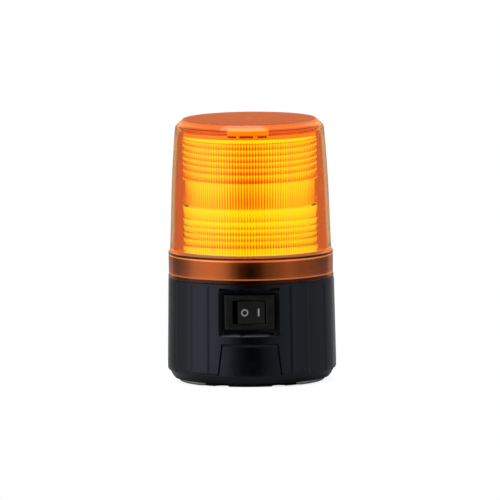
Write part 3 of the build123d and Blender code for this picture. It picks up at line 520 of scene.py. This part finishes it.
# The marks are thin layers of ink on the two slopes of the face. The cap is turned about its pivot last.
ink_thickness, mark_x = 0.04 * mm, 3.05 * mm
ring_inner, ring_outer, ring_slant = 1.0 * mm, 1.6 * mm, 0.02 * mm
bar_half, bar_half_height = 0.36 * mm, 1.6 * mm
ring_mark = turned("off_mark", [(ring_inner, 0), (ring_outer, 0), (ring_outer - ring_slant, ink_thickness),
                                (ring_inner + ring_slant, ink_thickness)], 48)
bar_mark = block("on_mark", (-bar_half, -bar_half_height, 0), (bar_half, bar_half_height, ink_thickness),
                 0.012 * mm)
slope = math.atan2(dip, rocker_half)
face_y = pivot_y - crown + dip * (1 - mark_x / rocker_half)
for mark, side in ((ring_mark, -1), (bar_mark, 1)):
    mark.data.materials.append(ink)
    mark.matrix_world = (Matrix.Translation((side * mark_x, face_y, switch_z))
                         @ Matrix.Rotation(-side * slope, 4, "Z") @ Matrix.Rotation(math.pi / 2, 4, "X"))
    pick(mark)
    bpy.ops.object.transform_apply()
    smooth(mark, 30)
pick(rocker)
ring_mark.select_set(True)
bar_mark.select_set(True)
bpy.ops.object.join()
rocker.data.transform(Matrix.Translation((0, pivot_y, 0)) @ Matrix.Rotation(rocker_turn, 4, "Z")
                      @ Matrix.Translation((0, -pivot_y, 0)))
fit(rocker, "rocker", "switch_black", "rocker")

# Inside, a plunger on a steel spring rocks the nickel-plated blade. It is acetal, with a soft waxy sheen.
acetal, tree, shader = finish_of("White acetal", "D8D6CE", 0.4)
grain(tree, shader, 0.3 * mm, 0.004 * mm, (0.32, 0.5))
coat(acetal, "plunger")
coat(steel, "plunger_spring")
coat(nickel_strip, "contact_blade")


# ---------------------------------------------------------------- Control board, LED mast and leads
# The board is glass epoxy under a glossy green solder mask. It carries the driver parts and a satin extruded
# aluminium mast, with four white LED boards round it. The leads are copper wire in soft PVC.
solder_mask, tree, shader = finish_of("Green solder mask", "0F4A2B", 0.35)
grain(tree, shader, 0.4 * mm, 0.01 * mm, (0.28, 0.45), "13552F")
coat(solder_mask, "control_board")
coat(brass, "contact_pads")
can_sleeve, tree, shader = finish_of("Black capacitor sleeve", "17181B", 0.35)
grain(tree, shader, 0.4 * mm, 0.004 * mm, (0.3, 0.42))
coat(can_sleeve, "capacitor", "driver_chip")
aluminium, tree, shader = finish_of("Extruded aluminium", "C3C6C9", 0.35, 1.0)
grain(tree, shader, 0.5 * mm, 0.01 * mm, (0.28, 0.45))
coat(aluminium, "led_mast")
white_mask, tree, shader = finish_of("White solder mask", "E8E8E4", 0.45)
grain(tree, shader, 0.4 * mm, 0.005 * mm, (0.4, 0.55))
sides = ("front", "right", "back", "left")
coat(white_mask, *[f"led_board_{side}" for side in sides])
phosphor, tree, shader = finish_of("Amber LED phosphor", "F2B233", 0.35)
grain(tree, shader, 0.3 * mm, 0.003 * mm, (0.3, 0.4), "E89A1F")
coat(phosphor, *[f"leds_{side}" for side in sides])
black_pvc, tree, shader = finish_of("Black PVC insulation", "141414", 0.45)
grain(tree, shader, 0.4 * mm, 0.004 * mm, (0.4, 0.5))
coat(black_pvc, "lead_black")
red_pvc, tree, shader = finish_of("Red PVC insulation", "9E1B16", 0.45)
grain(tree, shader, 0.4 * mm, 0.004 * mm, (0.4, 0.5))
coat(red_pvc, "lead_red")


# ---------------------------------------------------------------- Inner lens and its cap
# A clear acrylic cup with ring prisms above and below a plain middle band, and fine upright flutes inside.
# Lit from within, its inside wall carries a painted glow standing for the LEDs' light. The cap is an amber
# dish cemented on top, with three slots in the front of its rim, which has a painted glow.
def in_mm(*points):
    """Points of an outline given in millimetres."""
    return [(r * mm, z * mm) for r, z in points]


lens_radius, root_radius, lens_bore = 29.2 * mm, 28.5 * mm, 24.8 * mm
belly_radius = (root_radius + lens_radius) / 2 + 0.1 * mm
lens_foot, lens_top, lens_crown = 56.1 * mm, 107.0 * mm, 1.8 * mm
low_rings = [z * mm for z in (57.0, 60.3, 63.1, 65.7, 68.4, 71.4, 76.6)]
high_rings = [z * mm for z in (87.8, 91.4, 94.2, 96.8, 99.5, 102.2, 104.6)]
flutes = 132
outline = [(lens_bore, lens_foot), (lens_radius, lens_foot), (lens_radius, low_rings[0])]
for low_edge, high_edge in zip(low_rings, low_rings[1:]):
    outline += [(root_radius, low_edge + 0.05 * mm), (belly_radius, (low_edge + high_edge) / 2),
                (lens_radius, high_edge)]
outline += in_mm((27.6, 76.9), (27.75, 77.7), (27.85, 78.6), (28.0, 79.7), (28.05, 81.0))
outline += [(28.05 * mm, high_rings[0] - 0.1 * mm), (lens_radius, high_rings[0])]
for low_edge, high_edge in zip(high_rings, high_rings[1:]):
    outline += [(belly_radius, (low_edge + high_edge) / 2), (root_radius, high_edge - 0.05 * mm),
                (lens_radius, high_edge)]
outline += [(root_radius, lens_top), (0, lens_top), (0, lens_top - lens_crown),
            (lens_bore, lens_top - lens_crown)]
lens = turned("fluted_lens", outline, 2 * flutes)

# Every other line of points on the inside wall moves out, which makes the flutes.
flute_scale = 1.008
choose(lens, lambda point: abs(point.xy.length - lens_bore) < 0.1 * mm and point.z > lens_foot + 0.1 * mm
       and round(math.degrees(math.atan2(point.y, point.x)) * flutes / 180) % 2 == 0)
bpy.ops.transform.resize(value=(flute_scale, flute_scale, 1), center_override=(0, 0, 0))
bpy.ops.object.mode_set(mode="OBJECT")

acrylic, tree, shader = finish_of("Clear moulded acrylic", "FFF6DC", 0.04, IOR=1.49, Transmission_Weight=1.0)

# The glow is painted light, standing for the LEDs' light, and greener than amber, as the globe's colour
# takes the green out of it. It is painted brightest just below the middle band, with painted shade over each
# LED board and in lines where a ring's edge turns light away, and painted stripes for the flutes.
lit, tree, shader = finish_of("Painted glow on the acrylic flutes", "E8A51C", 0.4)
place = add(tree, "ShaderNodeTexCoord").outputs["Object"]
axes = add(tree, "ShaderNodeSeparateXYZ", {"Vector": place}).outputs
azimuth = add(tree, "ShaderNodeMath", {0: axes["Y"], 1: axes["X"]}, operation="ARCTAN2").outputs[0]


def height_ramp(stops):
    """A value that changes with height over the lens, from stops of a height in millimetres and a value."""
    share = add(tree, "ShaderNodeMapRange", {"Value": axes["Z"], 1: lens_foot, 2: lens_top}).outputs["Result"]
    ramp = add(tree, "ShaderNodeValToRGB", {"Fac": share})
    fill_ramp(ramp, [((z * mm - lens_foot) / (lens_top - lens_foot), (value, value, value, 1))
                     for z, value in stops])
    return ramp.outputs["Color"]


def maths(operation, *values):
    """A Math node on values or sockets."""
    return add(tree, "ShaderNodeMath", dict(enumerate(values)), operation=operation).outputs[0]


def wave(turns):
    """A cosine about the axis between 0 and 1 that peaks this many times a turn, in front among others."""
    swing = maths("COSINE", maths("MULTIPLY", azimuth, turns))
    return maths("MULTIPLY_ADD", swing, 0.5, 0.5)


glow = height_ramp([(56.1, 0.72), (60, 0.76), (66, 0.8), (69, 0.95), (71, 1.06), (75, 1.02), (78, 0.95),
                    (81, 0.87), (87, 0.78), (95, 0.84), (101, 0.86), (107, 0.72)])
edge_half = 0.4             # millimetres
edge_stops = [(lens_foot / mm, 0.0)]
for z in low_rings[1:] + high_rings:
    edge_stops += [(z / mm - edge_half, 0.0), (z / mm, 1.0)]
ring_edges = height_ramp(edge_stops + [(high_rings[-1] / mm + edge_half, 0.0)])
patch = height_ramp([(76, 0.0), (80, 1.0), (88, 1.0), (98, 0.55), (107, 0.3)])
over_boards = maths("POWER", wave(len(sides)), 1.6)
painted_flute_stripes = maths("MULTIPLY_ADD", wave(flutes), 0.56, -0.28)
# Painted shade: the glow is darker over each LED board and in a thin line at each ring's edge.
painted_shade_over_boards = maths("MULTIPLY", maths("MULTIPLY", patch, over_boards), 0.2)
painted_edge_shade = maths("MULTIPLY", ring_edges, maths("MULTIPLY_ADD", over_boards, 0.1, 0.5))
level = maths("SUBTRACT", maths("SUBTRACT", maths("ADD", glow, painted_flute_stripes), painted_shade_over_boards), painted_edge_shade)
colour = add(tree, "ShaderNodeValToRGB", {"Fac": level})
fill_ramp(colour, ((0.0, linear("7C3004")), (0.25, linear("A8660A")), (0.45, linear("BCB814")),
                   (0.7, linear("B8E618")), (0.9, linear("B4FF38"))))
tree.links.new(colour.outputs["Color"], shader.inputs["Emission Color"])
shader.inputs["Emission Strength"].default_value = 2.4
smooth(lens, 25)
fit(lens, "lamp_body", "clear_lens", "inner_lens", acrylic, lit)
# The inside wall takes the painted glow, and the rest is clear acrylic.
for face in lens.data.polygons:
    in_bore = face.center.xy.length < lens_bore + 0.3 * mm
    face.material_index = 1 if in_bore and lens_foot + 0.1 * mm < face.center.z < lens_top - mm else 0

cap_amber, tree, shader = finish_of("Amber lens cap", "C8641A", 0.3)
grain(tree, shader, 0.3 * mm, 0.003 * mm, (0.25, 0.35))
# The rim's glow is painted light, standing for the LEDs' light coming out through the amber.
cap_rim_painted_glow, tree, shader = finish_of("Painted glow on the lens cap rim", "C8641A", 0.3, Emission_Color=linear("F0C83C"),
                                  Emission_Strength=1.1)
cap_radius, cap_wall, cap_low = 28.4 * mm, 1.9 * mm, lens_top + 0.02 * mm
cap_floor, cap_top = lens_top + 0.8 * mm, lens_top + 2.1 * mm
cap = turned("lens_cap_dish", [(0, cap_floor), (0, cap_low), (cap_radius, cap_low),
                               (cap_radius, cap_top - 0.2 * mm), (cap_radius - 0.2 * mm, cap_top),
                               (cap_radius - cap_wall, cap_top), (cap_radius - cap_wall, cap_floor)], 128)
slot_low, slot_high = lens_top + 0.9 * mm, lens_top + 1.8 * mm
for x, width in ((-6.8, 3.5), (-0.7, 5.9), (6.0, 3.9)):
    combine(cap, block("rim_slot", ((x - width / 2) * mm, -cap_radius - 2 * mm, slot_low),
                       ((x + width / 2) * mm, -cap_radius + 4 * mm, slot_high)), "DIFFERENCE")
smooth(cap, 30)
fit(cap, "lamp_body", "amber_pc", "lens_cap", cap_amber, cap_rim_painted_glow)
# The outside of the rim takes the painted glow.
for face in cap.data.polygons:
    on_rim = face.center.xy.length > cap_radius - 0.1 * mm and abs(face.normal.z) < 0.5
    face.material_index = 1 if on_rim else 0


# ---------------------------------------------------------------- Globe
# One polished amber polycarbonate moulding: a drafted dome with a bevelled shoulder and a textured top, a
# small curved pad under its front edge, and a wider skirt. The skirt is ribbed inside for its thread, and the
# ribs throw side light back; its brown band is painted shade, a deeper brown on the same amber.
skirt_foot, skirt_top, skirt_bore = 45.2 * mm, 56.4 * mm, 33.6 * mm
globe_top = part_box("globe")[1].z
lip_round, gate_depth = 0.3 * mm, 0.6 * mm
skirt_side = in_mm((35.52, 46.8), (35.52, 47.4), (35.6, 54.85), (35.6, 55.35))
dome_outside = in_mm((34.95, 57.3), (34.85, 57.9), (34.62, 63.5), (34.4, 69.5), (34.13, 78.0), (33.8, 86.9),
                     (33.3, 95.5), (32.7, 104.3), (32.33, 108.6), (32.25, 109.4), (32.08, 110.2),
                     (31.84, 110.8), (31.5, 111.2), (29.2, 113.3), (28.9, 113.5), (28.5, 113.64))
dome_inside = in_mm((0, 111.9), (27.4, 111.9), (28.6, 111.4), (29.6, 110.4), (30.3, 109.5), (30.6, 108.6),
                    (31.0, 104.3), (31.6, 95.5), (32.1, 86.9), (32.4, 78.0), (32.7, 69.5), (32.9, 63.5),
                    (33.1, 58.6), (33.6, 57.2))
outline = [(skirt_bore, skirt_foot), (35.4 * mm, skirt_foot)]
outline += round_off((35.5 * mm, skirt_foot + 0.35 * mm), lip_round, -60, 0, 3) + skirt_side
outline += [(35.62 * mm, skirt_top - 0.4 * mm)]
outline += round_off((35.3 * mm, skirt_top - lip_round), lip_round, 0, 70, 4) + dome_outside
outline += [(27.8 * mm, globe_top), (1.2 * mm, globe_top), (1.0 * mm, globe_top - gate_depth),
            (0, globe_top - gate_depth - 0.1 * mm)] + dome_inside
rib_top, rib_pitch, rib_depth, ribs = 55.6 * mm, 0.8 * mm, 0.4 * mm, 11
for rib in range(ribs):
    z = rib_top - rib * rib_pitch
    outline += [(skirt_bore, z), (skirt_bore + rib_depth, z - rib_pitch / 2)]
outline += [(skirt_bore, rib_top - ribs * rib_pitch)]
globe = turned("amber_globe", outline, 256)
smooth(globe, 28)

pad_half_arc = 17.5         # degrees
pad = turned("shoulder_pad", in_mm((27.4, 109.2), (29.3, 109.2), (29.3, 110.3), (28.4, 111.2), (27.6, 111.6),
                                   (27.4, 111.6)), 36, -90 - pad_half_arc, 2 * pad_half_arc)
smooth(pad, 30)

# The dome is clear and glossy. The ribbed skirt and the bevel round the top get a deeper brown as painted
# shade. The textured top scatters the light from below and has a painted glow, and a few edge lines and the
# pad have a painted glow too.
amber, tree, shader = finish_of("Polished amber polycarbonate", "F9A04C", 0.03, IOR=1.585,
                                Transmission_Weight=1.0, Specular_Tint=linear("FFC9A0"))
# The same amber in a deeper brown: painted shade for the skirt and for the bevel round the top.
painted_shade_amber, tree, shader = finish_of("Amber polycarbonate with painted brown shade", "CC5E28", 0.05, IOR=1.585,
                                 Transmission_Weight=1.0, Specular_Tint=linear("FFB080"))
# The textured top is rough and grained. Its emission is a painted glow for the lamp's light scattered from
# below.
frosted_with_painted_glow, tree, shader = finish_of("Textured amber with painted glow", "D8622A", 0.5, IOR=1.585,
                                  Transmission_Weight=0.4, Specular_IOR_Level=0.3,
                                  Specular_Tint=linear("FFB080"), Emission_Color=linear("F08038"),
                                  Emission_Strength=0.34)
grain(tree, shader, 0.3 * mm, 0.01 * mm, (0.45, 0.6))
# Painted glow: thin bands on the skirt and on the shoulder round the top glow orange, standing for light
# gathered at edges.
edge_painted_glow, tree, shader = finish_of("Amber with painted edge glow", "F9A04C", 0.1, IOR=1.585,
                                   Transmission_Weight=1.0, Emission_Color=linear("F08A40"),
                                   Emission_Strength=0.45)
# The pad's glow is painted light, standing for the lamp's light reaching it from inside.
pad_painted_glow, tree, shader = finish_of("Amber pad with painted glow", "E08030", 0.3, Emission_Color=linear("FFCF1C"),
                                  Emission_Strength=1.05)
pad.data.materials.append(pad_painted_glow)
for material in (amber, painted_shade_amber, frosted_with_painted_glow, edge_painted_glow):
    globe.data.materials.append(material)
for face in globe.data.polygons:
    height, rise = face.center.z / mm, face.normal.z
    # Thin bands round the skirt and a band on the shoulder round the top take the painted edge glow.
    painted_glow_line = 46.85 < height < 47.35 or 54.9 < height < 55.3 or skirt_top / mm - 0.12 < height < 58.0
    outside = face.center.xy.length > 34.5 * mm
    if outside and painted_glow_line or 111.25 < height < 113.5 and rise > 0.2:
        face.material_index = 3
    # Below the skirt's top, and on the bevel round the top, the amber takes the painted brown shade.
    elif height < skirt_top / mm - 0.2 or height > 113.55 and 0.3 < rise < 0.98:
        face.material_index = 1
    # The flat top takes the textured amber and its painted glow.
    elif rise > 0.95 and height > 113.6:
        face.material_index = 2
pick(globe)
pad.select_set(True)
bpy.ops.object.join()
fit(globe, "globe", "amber_pc", "globe")


# ---------------------------------------------------------------- Stage, lights and camera
# A small pale disc takes the contact shadow. The studio is a ring of soft light, with a large softbox on the
# left, a weaker one on the right and a soft disc overhead. A dark gap round the camera leaves the front of
# the base dark, and the backdrop is white.
floor_radius = 80 * mm
bpy.ops.object.select_all(action="DESELECT")
bpy.ops.mesh.primitive_circle_add(vertices=96, radius=floor_radius, fill_type="NGON",
                                  location=(0, 0, -0.02 * mm))
bpy.ops.object.transform_apply()
floor = bpy.context.object
floor.name = "studio_floor"
white, tree, shader = finish_of("White studio floor", "F6F6F6", 0.7, Specular_IOR_Level=0.2,
                                Emission_Color=linear("FFFFFF"))
glare = add(tree, "ShaderNodeMath", {0: add(tree, "ShaderNodeLightPath").outputs["Is Camera Ray"], 1: 0.85},
            operation="MULTIPLY")
tree.links.new(glare.outputs[0], shader.inputs["Emission Strength"])
floor.data.materials.append(white)

# The ring's brightness by bearing in degrees from the camera, left of it negative.
around_camera = ((-180, 0.35), (-126, 0.2), (-104, 0.4), (-91, 0.75), (-75, 0.95), (-58, 1.0), (-51, 0.95),
                 (-42, 0.85), (-33, 0.6), (-25, 0.3), (-14, 0.08), (0, 0.02), (14, 0.07), (25, 0.22),
                 (42, 0.36), (60, 0.5), (80, 0.36), (92, 0.36), (126, 0.22), (180, 0.35))
ceiling_grey, backdrop_white = (0.15, 0.15, 0.15, 1), (1, 1, 1, 1)
world = bpy.data.worlds.new("Studio")
bpy.context.scene.world = world
world.use_nodes = True
tree = world.node_tree
direction = add(tree, "ShaderNodeTexCoord").outputs["Generated"]
axes = add(tree, "ShaderNodeSeparateXYZ", {"Vector": direction}).outputs
bearing = maths("ARCTAN2", axes["X"], maths("MULTIPLY", axes["Y"], -1.0))
ring = add(tree, "ShaderNodeValToRGB", {"Fac": maths("MULTIPLY_ADD", bearing, 1 / math.tau, 0.5)})
fill_ramp(ring, [((degrees + 180) / 360, (value * 0.95, value * 0.98, value, 1))
                 for degrees, value in around_camera])


def between(value, low, high):
    """A value that climbs from 0 to 1 between two limits."""
    return add(tree, "ShaderNodeMapRange", {"Value": value, 1: low, 2: high}).outputs["Result"]


def blend(factor, first, second):
    """A mix of two colours."""
    mixed = add(tree, "ShaderNodeMix", {"Factor": factor, "A": first, "B": second}, data_type="RGBA")
    return mixed.outputs[2]


# The ceiling is grey. What lies below is white away from the camera, and so is the backdrop as seen through
# the globe.
path = add(tree, "ShaderNodeLightPath").outputs
turned_away = maths("ABSOLUTE", bearing)
sky = blend(between(axes["Z"], 0.45, 0.8), ring.outputs["Color"], ceiling_grey)
downwards = between(maths("MULTIPLY", axes["Z"], -1.0), 0.25, 0.5)
sky = blend(maths("MULTIPLY", between(turned_away, 0.35, 0.75), downwards), sky, backdrop_white)
seen_through = maths("MULTIPLY", between(turned_away, 2.5, 2.7), path["Is Transmission Ray"])
sky = blend(seen_through, sky, backdrop_white)
tree.links.new(sky, tree.nodes["Background"].inputs["Color"])
backdrop = add(tree, "ShaderNodeBackground", {"Color": backdrop_white})
shown = add(tree, "ShaderNodeMixShader", {0: path["Is Camera Ray"], 1: tree.nodes["Background"].outputs[0],
                                          2: backdrop.outputs[0]})
tree.links.new(shown.outputs[0], tree.nodes["World Output"].inputs["Surface"])

bpy.ops.object.light_add(type="AREA", location=(-0.1, -0.1, 0.9))
top_light = bpy.context.object
top_light.name = "top_softbox"
top_light.data.shape = "DISK"
top_light.data.size = 0.6
top_light.data.energy = 1.6

azimuth, elevation, roll = math.radians(1.4), math.radians(6.2), math.radians(-0.6)
distance, view_width = 8.0, 216.45 * mm
aim = Vector((-0.3 * mm, 0, 56.3 * mm))
turn = Matrix.Rotation(azimuth, 4, "Z") @ Matrix.Rotation(math.pi / 2 - elevation, 4, "X")
bpy.ops.object.camera_add()
camera = bpy.context.object
camera.matrix_world = (Matrix.Translation(aim) @ turn @ Matrix.Translation((0, 0, distance))
                       @ Matrix.Rotation(roll, 4, "Z"))
camera.data.sensor_width = 36
camera.data.lens = camera.data.sensor_width * distance / view_width
camera.data.clip_end = 20
bpy.context.scene.camera = camera
bpy.context.scene.view_settings.view_transform = "Standard"
